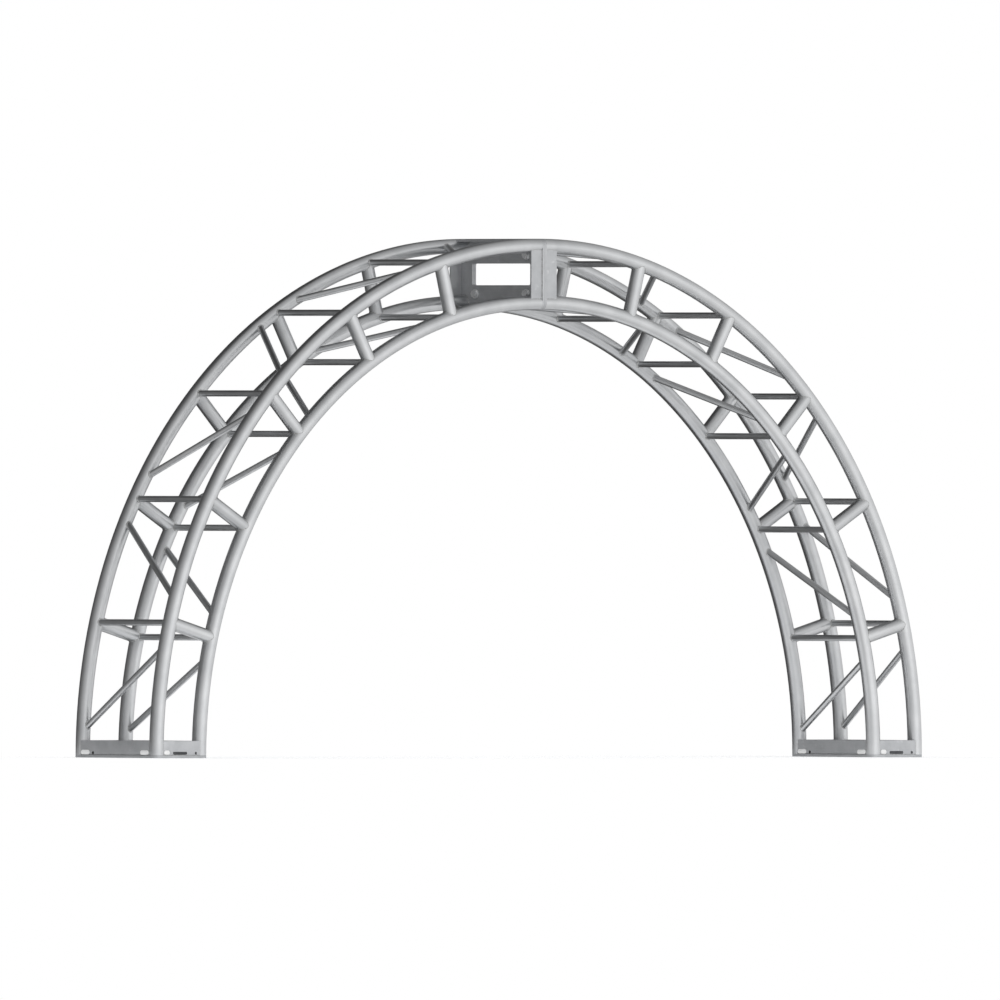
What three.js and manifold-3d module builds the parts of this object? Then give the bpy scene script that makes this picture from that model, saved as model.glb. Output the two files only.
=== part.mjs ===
import * as THREE from 'three';
import { mergeVertices } from 'three/addons/utils/BufferGeometryUtils.js';
import Module from 'manifold-3d';

// A half-circle box truss arch for stage lighting. Two quarter-circle segments stand on
// their lower end frames and are bolted together at the crown. Everything else is welded.
// Millimetres. X runs along the span, Y through the depth with the front at -Y, Z is up.
// The origin is on the floor, in the middle between the two feet.

// The arch as a whole
const outside_diameter = 3657.6;
const radial_spacing = 200.025;
const depth_spacing = 387.35;
const bays_per_quarter = 6;

// Four curved chord tubes in each quarter
const chord_radius = 25.4;
const chord_wall = 3.2;

// Straight radial rungs between an outer and an inner chord
const rung_radius = 23.8;
const rung_wall = 3.2;

// Thin cross braces through the depth, and thin diagonals between them
const brace_radius = 11.1;
const brace_wall = 3.2;
const diagonal_radius = 11.1;
const diagonal_wall = 3.2;
const diagonal_setback_share = 0.18;

// Weld fillet where a cross brace meets its rung and chord
const weld_leg = 5;

// End frames: a plate with a window and bolt holes, and four upright legs between the chords
const plate_thickness = 9.525;
const window_depth = 304.8;
const window_radial = 76.2;
const window_corner_radius = 6;
const leg_height = 50.8;
const leg_thickness = 6.35;
const leg_inset = 4;
const leg_root_share = 0.5;

// Crown bolts, nuts and washers, and the holes that they pass through
const bolt_radius = 7.94;
const bolt_hole_radius = 8.75;
const bolt_spacing_depth = 268;
const bolt_spacing_radial = 137;
const bolt_tip_length = 5;
const hex_radius = 13.7;
const hex_head_height = 10;
const hex_nut_height = 14;
const washer_radius = 17;
const washer_thickness = 3;

// Small holes and a slot low on the legs of the two foot frames. The setbacks are from the
// axes of the back chords, and of the chords on the +X side.
const leg_feature_height = 7.5;
const leg_hole_radius = 5;
const face_hole_setback = 78;
const side_hole_setback = 33.5;
const side_slot_setback = 107.5;
const side_slot_length = 66;
const side_slot_height = 10;

// Clearances: between welded neighbours, under chord ends and between the crown plates
const weld_gap = 0.3;
const chord_seat_gap = 0.3;
const crown_joint_gap = 0.3;
const bolt_seat_gap = 0.3;

// Numbers of flat sides and steps
const chord_sides = 12;
const chord_bore_sides = 8;
const chord_steps_per_bay = 3;
const rung_sides = 12;
const rung_bore_sides = 8;
const brace_sides = 8;
const brace_bore_sides = 6;
const bolt_sides = 12;
const leg_hole_sides = 8;
const hex_sides = 6;
const corner_steps = 3;

const full_turn = 2 * Math.PI;
const quarter_turn = full_turn / 4;
const bay_angle = quarter_turn / bays_per_quarter;
const ring_segments = 4 * bays_per_quarter * chord_steps_per_bay;
const half_step = full_turn / ring_segments / 2;

// Places that follow from the driving sizes. Each quarter is drawn about its own arc centre.
const arc_centre_height = plate_thickness + chord_seat_gap;
const arc_centre_offset = crown_joint_gap / 2 + plate_thickness + chord_seat_gap;
const outer_chord_arc = outside_diameter / 2 - arc_centre_offset - chord_radius;
const inner_chord_arc = outer_chord_arc - radial_spacing;
const section_arc = (outer_chord_arc + inner_chord_arc) / 2;
const front_depth = -depth_spacing / 2;
const back_depth = depth_spacing / 2;
const section_radial = radial_spacing + 2 * chord_radius;
const section_depth = depth_spacing + 2 * chord_radius;
const plate_inner_face = -chord_seat_gap;
const plate_outer_face = plate_inner_face - plate_thickness;

const wasm = await Module();
wasm.setup();

// Turns a closed three.js geometry into a solid that can be cut and joined
function solidFrom(geometry) {
  geometry.deleteAttribute('normal');
  geometry.deleteAttribute('uv');
  const merged = mergeVertices(geometry);
  return new wasm.Manifold(new wasm.Mesh({
    numProp: 3,
    vertProperties: new Float32Array(merged.getAttribute('position').array),
    triVerts: new Uint32Array(merged.getIndex().array),
  }));
}

function geometryFrom(solid) {
  const mesh = solid.getMesh();
  const geometry = new THREE.BufferGeometry();
  geometry.setAttribute('position', new THREE.BufferAttribute(mesh.vertProperties, 3));
  geometry.setIndex(new THREE.BufferAttribute(mesh.triVerts, 1));
  geometry.computeVertexNormals();
  return geometry;
}

function joinAll(solids) {
  return solids.reduce((joined, solid) => joined.add(solid));
}

function cutAll(solid, cutters) {
  return cutters.reduce((left, cutter) => left.subtract(cutter), solid);
}

// A full ring of tube about the Y axis. Its straight steps touch the true circle in their
// middle, where the rungs and braces of the truss meet it and where the segments end.
function tubeRing(arc, depth, radius, sides) {
  const profile = [];
  for (let i = 0; i <= sides; i += 1) {
    const angle = ((i % sides) / sides) * full_turn;
    const reach = (arc + radius * Math.cos(angle)) / Math.cos(half_step);
    profile.push(new THREE.Vector2(reach, depth + radius * Math.sin(angle)));
  }
  return solidFrom(new THREE.LatheGeometry(profile, ring_segments, half_step));
}

// A straight bar or cone from start to end, with one of its corners towards facing
function straightBar(start, end, start_radius, end_radius, sides, facing) {
  const along = end.clone().sub(start);
  const geometry = new THREE.CylinderGeometry(end_radius, start_radius, along.length(), sides);
  const middle = start.clone().add(end).divideScalar(2);
  along.normalize();
  const across = along.clone().cross(facing).normalize();
  const up = across.clone().cross(along);
  const place = new THREE.Matrix4().makeBasis(across, along, up).setPosition(middle);
  return solidFrom(geometry).transform(place.elements);
}

function roundBar(start, end, radius, sides, facing) {
  return straightBar(start, end, radius, radius, sides, facing);
}

const chord_places = [
  { face: 'outer', side: 'front', arc: outer_chord_arc, depth: front_depth },
  { face: 'outer', side: 'back', arc: outer_chord_arc, depth: back_depth },
  { face: 'inner', side: 'front', arc: inner_chord_arc, depth: front_depth },
  { face: 'inner', side: 'back', arc: inner_chord_arc, depth: back_depth },
];

const depth_axis = new THREE.Vector3(0, 1, 0);

// Hand is -1 for the left quarter and 1 for the right. Angles run from the foot to the crown.
function radialAxis(hand, angle) {
  return new THREE.Vector3(hand * Math.cos(angle), 0, Math.sin(angle));
}

function placeOnRing(hand, angle, arc, depth) {
  return radialAxis(hand, angle).multiplyScalar(arc).setY(depth);
}

// The shape that a neighbour is coped to: the chord's straight step nearest to an angle and
// one step on either side of it, one gap larger than the chord
function chordCope(hand, angle, { arc, depth }) {
  const radius = chord_radius + weld_gap;
  const half_length = (arc + radius) * Math.tan(half_step);
  const nearest = Math.round(angle / (2 * half_step));
  return joinAll([-1, 0, 1].map((step) => {
    const middle_angle = (nearest + step) * 2 * half_step;
    const facing = radialAxis(hand, middle_angle);
    const middle = placeOnRing(hand, middle_angle, arc, depth);
    const along = depth_axis.clone().cross(facing).multiplyScalar(half_length);
    const start = middle.clone().sub(along);
    return roundBar(start, middle.clone().add(along), radius, chord_sides, facing);
  }));
}

function chordCopes(hand, angle) {
  return chord_places.map((place) => chordCope(hand, angle, place));
}

// A curved chord tube of one quarter
function chordTube(hand, { arc, depth }) {
  const outside = tubeRing(arc, depth, chord_radius, chord_sides);
  const bore = tubeRing(arc, depth, chord_radius - chord_wall, chord_bore_sides);
  const reach = outside_diameter;
  const quadrant = new THREE.BoxGeometry(reach, section_depth * 2, reach);
  quadrant.translate(hand * reach / 2, 0, reach / 2);
  return outside.subtract(bore).intersect(solidFrom(quadrant));
}

function rungBar(hand, angle, depth, radius, sides) {
  const start = placeOnRing(hand, angle, inner_chord_arc, depth);
  const end = placeOnRing(hand, angle, outer_chord_arc, depth);
  return roundBar(start, end, radius, sides, depth_axis);
}

function braceBar(hand, angle, arc, radius, sides) {
  const start = placeOnRing(hand, angle, arc, front_depth);
  const end = placeOnRing(hand, angle, arc, back_depth);
  return roundBar(start, end, radius, sides, radialAxis(hand, angle));
}

// The weld fillet round a brace where it meets the rung and chord at its own end
function cornerWeld(hand, angle, arc, depth) {
  const inwards = -Math.sign(depth);
  const wide_place = depth + inwards * (chord_radius - weld_leg);
  const narrow_place = depth + inwards * (chord_radius + weld_leg);
  return straightBar(
    placeOnRing(hand, angle, arc, wide_place),
    placeOnRing(hand, angle, arc, narrow_place),
    brace_radius + 2 * weld_leg,
    brace_radius,
    brace_sides,
    radialAxis(hand, angle),
  );
}

// A rung with the cross brace that is welded to its end, coped to the four chords. The far
// end of the brace is coped to the other rung of the ring.
function rungWithBrace(hand, angle, rung_depth, brace_arc) {
  const outside = joinAll([
    rungBar(hand, angle, rung_depth, rung_radius, rung_sides),
    braceBar(hand, angle, brace_arc, brace_radius, brace_sides),
    cornerWeld(hand, angle, brace_arc, rung_depth),
  ]);
  return cutAll(outside, [
    rungBar(hand, angle, rung_depth, rung_radius - rung_wall, rung_bore_sides),
    braceBar(hand, angle, brace_arc, brace_radius - brace_wall, brace_bore_sides),
    rungBar(hand, angle, -rung_depth, rung_radius + weld_gap, rung_sides),
    ...chordCopes(hand, angle),
  ]);
}

// A diagonal lies between the front and back chords of one face. In even bays, counted from
// the foot, its back end is the lower one, and in odd bays its front end is.
function diagonalTube(hand, bay, arc) {
  const low = (bay + diagonal_setback_share) * bay_angle;
  const high = (bay + 1 - diagonal_setback_share) * bay_angle;
  const rises_to_front = bay % 2 === 0;
  const start = placeOnRing(hand, rises_to_front ? high : low, arc, front_depth);
  const end = placeOnRing(hand, rises_to_front ? low : high, arc, back_depth);
  const facing = radialAxis(hand, (low + high) / 2);
  const outside = roundBar(start, end, diagonal_radius, brace_sides, facing);
  const bore = roundBar(start, end, diagonal_radius - diagonal_wall, brace_bore_sides, facing);
  return cutAll(outside, [bore, ...chordCopes(hand, low), ...chordCopes(hand, high)]);
}

function roundedRectangle(path, length, width, radius) {
  const x = length / 2 - radius;
  const y = width / 2 - radius;
  path.absarc(x, y, radius, 0, quarter_turn, false);
  path.absarc(-x, y, radius, quarter_turn, 2 * quarter_turn, false);
  path.absarc(-x, -y, radius, 2 * quarter_turn, 3 * quarter_turn, false);
  path.absarc(x, -y, radius, 3 * quarter_turn, full_turn, false);
  path.closePath();
  return path;
}

const bolt_places = [
  { face: 'outer', side: 'front', radial: bolt_spacing_radial / 2, depth: -bolt_spacing_depth / 2 },
  { face: 'outer', side: 'back', radial: bolt_spacing_radial / 2, depth: bolt_spacing_depth / 2 },
  { face: 'inner', side: 'front', radial: -bolt_spacing_radial / 2, depth: -bolt_spacing_depth / 2 },
  { face: 'inner', side: 'back', radial: -bolt_spacing_radial / 2, depth: bolt_spacing_depth / 2 },
];

// The end plate lies flat under the chord ends, with its corners round the chords
function endPlate() {
  const outline = roundedRectangle(
    new THREE.Shape(), section_radial, section_depth, chord_radius,
  );
  outline.holes.push(roundedRectangle(
    new THREE.Path(), window_radial, window_depth, window_corner_radius,
  ));
  const plate = new THREE.ExtrudeGeometry(outline, {
    depth: plate_thickness, bevelEnabled: false, curveSegments: corner_steps,
  });
  plate.translate(0, 0, plate_outer_face);
  const holes = bolt_places.map(({ radial, depth }) => roundBar(
    new THREE.Vector3(radial, depth, plate_outer_face - plate_thickness),
    new THREE.Vector3(radial, depth, plate_inner_face + plate_thickness),
    bolt_hole_radius,
    bolt_sides,
    depth_axis,
  ));
  return cutAll(solidFrom(plate), holes);
}

// Four upright legs join the chords just inside the chords' outer surfaces
function endLegs() {
  const root = plate_inner_face - plate_thickness * leg_root_share;
  const height = plate_inner_face + leg_height - root;
  const radial_place = section_radial / 2 - leg_inset - leg_thickness / 2;
  const depth_place = section_depth / 2 - leg_inset - leg_thickness / 2;
  const legs = [];
  for (const sign of [-1, 1]) {
    const face_leg = new THREE.BoxGeometry(leg_thickness, depth_spacing, height);
    face_leg.translate(sign * radial_place, 0, root + height / 2);
    const side_leg = new THREE.BoxGeometry(radial_spacing, leg_thickness, height);
    side_leg.translate(0, sign * depth_place, root + height / 2);
    legs.push(solidFrom(face_leg), solidFrom(side_leg));
  }
  return joinAll(legs);
}

// A small hole through both face legs, a slot and a small hole through both side legs
function footLegCutters() {
  const radial_axis = new THREE.Vector3(1, 0, 0);
  const height = plate_inner_face + leg_feature_height;
  const face_hole_depth = back_depth - face_hole_setback;
  const side_hole_place = radial_spacing / 2 - side_hole_setback;
  const face_hole = roundBar(
    new THREE.Vector3(-section_radial, face_hole_depth, height),
    new THREE.Vector3(section_radial, face_hole_depth, height),
    leg_hole_radius,
    leg_hole_sides,
    depth_axis,
  );
  const side_hole = roundBar(
    new THREE.Vector3(side_hole_place, -section_depth, height),
    new THREE.Vector3(side_hole_place, section_depth, height),
    leg_hole_radius,
    leg_hole_sides,
    radial_axis,
  );
  const slot = new THREE.ExtrudeGeometry(
    roundedRectangle(
      new THREE.Shape(), side_slot_length, side_slot_height, side_slot_height / 2,
    ),
    { depth: 2 * section_depth, bevelEnabled: false, curveSegments: corner_steps },
  );
  slot.translate(0, 0, -section_depth);
  slot.rotateX(quarter_turn);
  slot.translate(radial_spacing / 2 - side_slot_setback, 0, height);
  return [face_hole, side_hole, solidFrom(slot)];
}

// One end frame about the arc centre of its quarter. It is drawn with its plate below and
// the segment above, then turned and moved to the foot or the crown.
function endFrame(hand, at_foot) {
  const place = new THREE.Matrix4();
  if (at_foot) {
    place.makeTranslation(hand * section_arc, 0, 0);
  } else {
    place.makeRotationY(hand * quarter_turn).setPosition(0, 0, section_arc);
  }
  const plain_legs = endLegs();
  const legs = at_foot ? cutAll(plain_legs, footLegCutters()) : plain_legs;
  const end_angle = at_foot ? 0 : quarter_turn;
  const placed_legs = cutAll(legs.transform(place.elements), chordCopes(hand, end_angle));
  return placed_legs.add(endPlate().transform(place.elements));
}

// A hexagon bolt through both crown plates, with its washers and nut, along X
function crownBolt() {
  const seat = arc_centre_offset - chord_seat_gap + bolt_seat_gap;
  const washer_end = seat + washer_thickness;
  const head_end = washer_end + hex_head_height;
  const nut_end = washer_end + hex_nut_height;
  const bar = (from, to, radius, sides) => roundBar(
    new THREE.Vector3(from, 0, 0), new THREE.Vector3(to, 0, 0), radius, sides, depth_axis,
  );
  return joinAll([
    bar(-washer_end, nut_end + bolt_tip_length, bolt_radius, bolt_sides),
    bar(-washer_end, -seat, washer_radius, bolt_sides),
    bar(seat, washer_end, washer_radius, bolt_sides),
    bar(-head_end, -washer_end, hex_radius, hex_sides),
    bar(washer_end, nut_end, hex_radius, hex_sides),
  ]);
}

const tube_finish = { color: 0xbcbec0, roughness: 0.42, metalness: 0.85 };
const plate_finish = { color: 0xa9abad, roughness: 0.5, metalness: 0.85 };
const bolt_finish = { color: 0xc9cacb, roughness: 0.3, metalness: 1 };

function namedPiece(name, solid, finish) {
  const piece = new THREE.Mesh(geometryFrom(solid), new THREE.MeshStandardMaterial(finish));
  piece.name = name;
  return piece;
}

function quarterSegment(name, hand) {
  const quarter = new THREE.Group();
  quarter.position.set(hand * arc_centre_offset, 0, arc_centre_height);
  const add = (piece, solid, finish) => {
    quarter.add(namedPiece(`${name}_${piece}`, solid, finish));
  };
  for (const place of chord_places) {
    add(`${place.face}_${place.side}_chord`, chordTube(hand, place), tube_finish);
  }
  for (let ring = 1; ring < bays_per_quarter; ring += 1) {
    const angle = ring * bay_angle;
    add(`ring_${ring}_front_rung_outer_brace`,
      rungWithBrace(hand, angle, front_depth, outer_chord_arc), tube_finish);
    add(`ring_${ring}_back_rung_inner_brace`,
      rungWithBrace(hand, angle, back_depth, inner_chord_arc), tube_finish);
  }
  for (let bay = 0; bay < bays_per_quarter; bay += 1) {
    add(`outer_diagonal_${bay + 1}`, diagonalTube(hand, bay, outer_chord_arc), tube_finish);
    add(`inner_diagonal_${bay + 1}`, diagonalTube(hand, bay, inner_chord_arc), tube_finish);
  }
  add('foot_frame', endFrame(hand, true), plate_finish);
  add('crown_frame', endFrame(hand, false), plate_finish);
  return quarter;
}

const arch = new THREE.Group();
arch.name = 'circular_lighting_truss';
arch.add(quarterSegment('left', -1), quarterSegment('right', 1));
for (const { face, side, radial, depth } of bolt_places) {
  const bolt = namedPiece(`crown_bolt_${face}_${side}`, crownBolt(), bolt_finish);
  bolt.position.set(0, depth, arc_centre_height + section_arc + radial);
  arch.add(bolt);
}

export default arch;
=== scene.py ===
import math
import random

import bmesh
import bpy
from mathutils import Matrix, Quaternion, Vector, geometry


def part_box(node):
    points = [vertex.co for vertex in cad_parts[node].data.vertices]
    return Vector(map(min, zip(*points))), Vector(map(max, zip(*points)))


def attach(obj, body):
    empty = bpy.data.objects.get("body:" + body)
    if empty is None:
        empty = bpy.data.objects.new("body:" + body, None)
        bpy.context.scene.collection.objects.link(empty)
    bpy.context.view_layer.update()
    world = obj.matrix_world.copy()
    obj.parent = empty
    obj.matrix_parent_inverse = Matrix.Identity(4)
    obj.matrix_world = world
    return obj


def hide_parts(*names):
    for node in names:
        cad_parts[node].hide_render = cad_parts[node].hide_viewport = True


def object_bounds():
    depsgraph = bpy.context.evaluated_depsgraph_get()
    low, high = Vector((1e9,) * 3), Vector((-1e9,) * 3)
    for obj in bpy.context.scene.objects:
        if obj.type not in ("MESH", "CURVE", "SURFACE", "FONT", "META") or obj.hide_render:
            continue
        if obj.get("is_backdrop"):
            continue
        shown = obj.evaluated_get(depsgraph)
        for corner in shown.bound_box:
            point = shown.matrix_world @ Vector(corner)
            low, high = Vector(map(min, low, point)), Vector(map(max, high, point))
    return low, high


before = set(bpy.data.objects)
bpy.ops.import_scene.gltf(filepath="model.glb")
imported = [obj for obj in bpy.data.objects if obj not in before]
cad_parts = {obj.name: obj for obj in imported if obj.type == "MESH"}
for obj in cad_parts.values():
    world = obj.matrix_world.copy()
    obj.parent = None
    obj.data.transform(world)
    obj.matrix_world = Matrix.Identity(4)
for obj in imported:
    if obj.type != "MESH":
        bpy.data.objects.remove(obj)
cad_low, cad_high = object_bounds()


# The camera. The photograph is a parallel view at floor level that leans a little to the
# right, turned so that the inside of the right leg and the outside of the left leg show. A
# very long lens stands in for it, because the lines of the object stay parallel in it.
photo_size_px = 1000
arch_top_px = 238.8
arch_foot_px = 757.3
arch_middle_px = 502.3
camera_turn = math.radians(-42.15)
camera_roll = math.radians(0.21)
camera_lens = 1700.0
camera_sensor = 36.0
camera_near_limit = 1.0

metres_per_px = (cad_high.z - cad_low.z) / (arch_foot_px - arch_top_px)
camera_height = cad_low.z + (arch_foot_px - photo_size_px / 2) * metres_per_px
camera_distance = photo_size_px * metres_per_px * camera_lens / camera_sensor
towards_camera = Vector((math.sin(camera_turn), -math.cos(camera_turn), 0.0))
right_of_camera = Vector((math.cos(camera_turn), math.sin(camera_turn), 0.0))
camera_aside = (photo_size_px / 2 - arch_middle_px) * metres_per_px

scene = bpy.context.scene
scene.view_settings.view_transform = "Standard"
camera_data = bpy.data.cameras.new("photo_camera")
camera_data.lens = camera_lens
camera_data.sensor_width = camera_sensor
camera_data.clip_start = camera_near_limit
camera_data.clip_end = 2 * camera_distance
camera = bpy.data.objects.new("photo_camera", camera_data)
camera.location = towards_camera * camera_distance + right_of_camera * camera_aside
camera.location.z = camera_height
upright = towards_camera.to_track_quat("Z", "Y")
camera.rotation_euler = (upright @ Quaternion((0.0, 0.0, 1.0), camera_roll)).to_euler()
scene.collection.objects.link(camera)
scene.camera = camera


# The world is white where it is seen, directly or in the metal. To everything else it is a
# plain pale light from all sides.
ambient_strength = 0.75
backdrop_strength = 1.0


def srgb(colour):
    """A hex colour as linear red, green, blue and alpha."""
    parts = [int(colour[i:i + 2], 16) / 255 for i in (1, 3, 5)]
    linear = [p / 12.92 if p <= 0.04045 else ((p + 0.055) / 1.055) ** 2.4 for p in parts]
    return (*linear, 1.0)


def empty_tree(owner):
    """The node tree of a new world or material, with no nodes in it."""
    owner.use_nodes = True
    owner.node_tree.nodes.clear()
    return owner.node_tree


def add_node(tree, kind, inputs=None, **settings):
    """Adds one node: its settings, then its inputs as values or as links from other sockets."""
    node = tree.nodes.new(kind)
    for key, value in settings.items():
        setattr(node, key, value)
    for key, value in (inputs or {}).items():
        if isinstance(value, bpy.types.NodeSocket):
            tree.links.new(value, node.inputs[key])
        else:
            node.inputs[key].default_value = value
    return node


def seen_share(tree):
    """A socket that is 1 for what the camera sees, directly or in metal or glass, else 0."""
    path = add_node(tree, "ShaderNodeLightPath")
    seen = add_node(tree, "ShaderNodeMath", {
        0: path.outputs["Is Camera Ray"], 1: path.outputs["Is Glossy Ray"]}, operation="ADD")
    seen = add_node(tree, "ShaderNodeMath", {
        0: seen.outputs[0], 1: path.outputs["Is Transmission Ray"]},
        operation="ADD", use_clamp=True)
    return seen.outputs[0]


world = bpy.data.worlds.new("white_studio")
scene.world = world
tree = empty_tree(world)
ambient = add_node(tree, "ShaderNodeBackground", {
    "Color": srgb("#FCFDFF"), "Strength": ambient_strength})
backdrop = add_node(tree, "ShaderNodeBackground", {
    "Color": srgb("#FFFFFF"), "Strength": backdrop_strength})
both = add_node(tree, "ShaderNodeMixShader", {
    0: seen_share(tree), 1: ambient.outputs[0], 2: backdrop.outputs[0]})
add_node(tree, "ShaderNodeOutputWorld", {"Surface": both.outputs[0]})


# The floor is a pale painted board, which fades out towards its edges. What is seen of it,
# directly or in the metal, is lifted to the white of the backdrop, and the shadow of the
# object stays on it.
floor_half_length = 2.25
floor_half_width = 0.70
floor_fade = 0.40
floor_lift = 0.31
floor_mesh = bpy.data.meshes.new("studio_floor")
floor_bm = bmesh.new()
floor_bm.faces.new([
    floor_bm.verts.new((x * floor_half_length, y * floor_half_width, 0.0))
    for x, y in ((-1, -1), (1, -1), (1, 1), (-1, 1))
])
floor_bm.to_mesh(floor_mesh)
floor_bm.free()
floor = bpy.data.objects.new("studio_floor", floor_mesh)
scene.collection.objects.link(floor)
floor_paint = bpy.data.materials.new("white_painted_board")
tree = empty_tree(floor_paint)
paint = add_node(tree, "ShaderNodeBsdfDiffuse", {"Color": srgb("#F4F4F4")})
lift = add_node(tree, "ShaderNodeMath", {0: seen_share(tree), 1: floor_lift},
                operation="MULTIPLY")
glow = add_node(tree, "ShaderNodeEmission", {
    "Color": srgb("#FFFFFF"), "Strength": lift.outputs[0]})
board = add_node(tree, "ShaderNodeAddShader", {0: paint.outputs[0], 1: glow.outputs[0]})
place = add_node(tree, "ShaderNodeTexCoord").outputs["Object"]
place = add_node(tree, "ShaderNodeSeparateXYZ", {0: place})
from_edge = []
for axis, half in enumerate((floor_half_length, floor_half_width)):
    off_middle = add_node(tree, "ShaderNodeMath", {0: place.outputs[axis]},
                          operation="ABSOLUTE")
    from_edge.append(add_node(tree, "ShaderNodeMath", {0: half, 1: off_middle.outputs[0]},
                              operation="SUBTRACT"))
nearest = add_node(tree, "ShaderNodeMath", {
    0: from_edge[0].outputs[0], 1: from_edge[1].outputs[0]}, operation="MINIMUM")
cover = add_node(tree, "ShaderNodeMapRange", {
    "Value": nearest.outputs[0], "From Min": 0.0, "From Max": floor_fade},
    interpolation_type="SMOOTHSTEP")
beyond = add_node(tree, "ShaderNodeBsdfTransparent")
board = add_node(tree, "ShaderNodeMixShader", {
    0: cover.outputs[0], 1: beyond.outputs[0], 2: board.outputs[0]})
add_node(tree, "ShaderNodeOutputMaterial", {"Surface": board.outputs[0]})
floor_mesh.materials.append(floor_paint)
floor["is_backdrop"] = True


# Two soft lamps, far off so that they light the whole span alike. The key stands low in
# front, to the camera's right, and the fill lights the other side weakly.
for name, side, height, strength, softness in (
    ("key_lamp", math.radians(44), 0.12, 0.60, math.radians(40)),
    ("fill_lamp", math.radians(-55), 0.45, 0.20, math.radians(60)),
):
    lamp_data = bpy.data.lights.new(name, "SUN")
    lamp_data.energy = strength
    lamp_data.angle = softness
    lamp = bpy.data.objects.new(name, lamp_data)
    direction = towards_camera * math.cos(side) + right_of_camera * math.sin(side)
    direction.z = height
    lamp.location = direction
    lamp.rotation_euler = direction.to_track_quat("Z", "Y").to_euler()
    scene.collection.objects.link(lamp)


# A tent of studio cloth stands round the set, and only the metal shows it. Its shade round
# the horizon is brightest to the camera's right, and it darkens overhead and low down.
tent_radius = 14.0
tent_steps = 48
tent_sides = (
    (-180, 0.12), (-150, 0.08), (-120, 0.08), (-96, 0.18), (-75, 0.23), (-48, 0.45),
    (-20, 0.69), (0, 0.85), (20, 1.00), (36, 1.14), (60, 1.14), (84, 1.00), (120, 0.96),
    (150, 0.70), (180, 0.12),
)
tent_heights = ((-90, 0.65), (-50, 0.70), (-20, 0.90), (-5, 1.0), (12, 1.0), (35, 0.75),
                (60, 0.50), (90, 0.42))


def between(stops, value):
    """The value on the line through the stops."""
    for (a, low), (b, high) in zip(stops, stops[1:]):
        if value <= b:
            return low + (high - low) * max(0.0, value - a) / (b - a)
    return stops[-1][1]


tent_mesh = bpy.data.meshes.new("studio_tent")
tent_bm = bmesh.new()
bmesh.ops.create_uvsphere(tent_bm, u_segments=2 * tent_steps, v_segments=tent_steps,
                          radius=tent_radius)
tent_bm.to_mesh(tent_mesh)
tent_bm.free()
shades = []
for vertex in tent_mesh.vertices:
    way = vertex.co.normalized()
    side = math.degrees(math.atan2(way.dot(right_of_camera), way.dot(towards_camera)))
    height = math.degrees(math.asin(way.z))
    shades.append(between(tent_sides, side) * between(tent_heights, height))
layer = tent_mesh.attributes.new("shade", "FLOAT", "POINT")
layer.data.foreach_set("value", shades)
cloth = bpy.data.materials.new("graded_tent_cloth")
tree = empty_tree(cloth)
shade = add_node(tree, "ShaderNodeAttribute", attribute_name="shade")
glow = add_node(tree, "ShaderNodeEmission", {
    "Color": srgb("#FFFFFF"), "Strength": shade.outputs["Fac"]})
add_node(tree, "ShaderNodeOutputMaterial", {"Surface": glow.outputs[0]})
tent_mesh.materials.append(cloth)
tent = bpy.data.objects.new("studio_tent", tent_mesh)
tent.visible_camera = False
tent.visible_diffuse = False
tent.visible_transmission = False
tent.visible_shadow = False
scene.collection.objects.link(tent)
tent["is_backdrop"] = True


# Mill finish aluminium tube. The die leaves fine lines along each tube, the surface is a
# soft grey metal, and handling and the heat of welding leave it patchy. The lines are about
# 1 mm apart on the real tube. They are drawn 3 mm apart too, so that they show from afar.
mm = 0.001
tube_light = "#DADBDC"
tube_dark = "#B6B8BA"
tube_scuffed = "#E2E3E4"
tube_heated = "#75746F"
wide_line_gap = 3 * mm
wide_line_length = 400 * mm
fine_line_gap = 1 * mm
fine_line_length = 120 * mm
patch_size = 90 * mm
scuff_width = 14 * mm
scuff_length = 9 * mm
wide_line_share = 0.6
streak_share = 0.55
scuff_share = 0.25
scuff_relief = -0.3
tube_roughness = 0.26
line_roughness = 0.10
heat_roughness = 0.25
tube_bump = 0.25 * mm

# The sockets of a node that mixes two colours: its share, its colours and its result
mix_share, mix_from, mix_to, mix_colour = 0, 6, 7, 2


def end_metal(tree, colour, roughness, relief, height, strength, metallic=1.0):
    """Ends a metal's tree: its colour, its roughness, and the height of its relief."""
    bump = add_node(tree, "ShaderNodeBump", {
        "Height": relief, "Strength": strength, "Distance": height})
    shader = add_node(tree, "ShaderNodeBsdfPrincipled", {
        "Base Color": colour, "Metallic": metallic, "Roughness": roughness,
        "Normal": bump.outputs[0]})
    add_node(tree, "ShaderNodeOutputMaterial", {"Surface": shader.outputs[0]})


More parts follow.
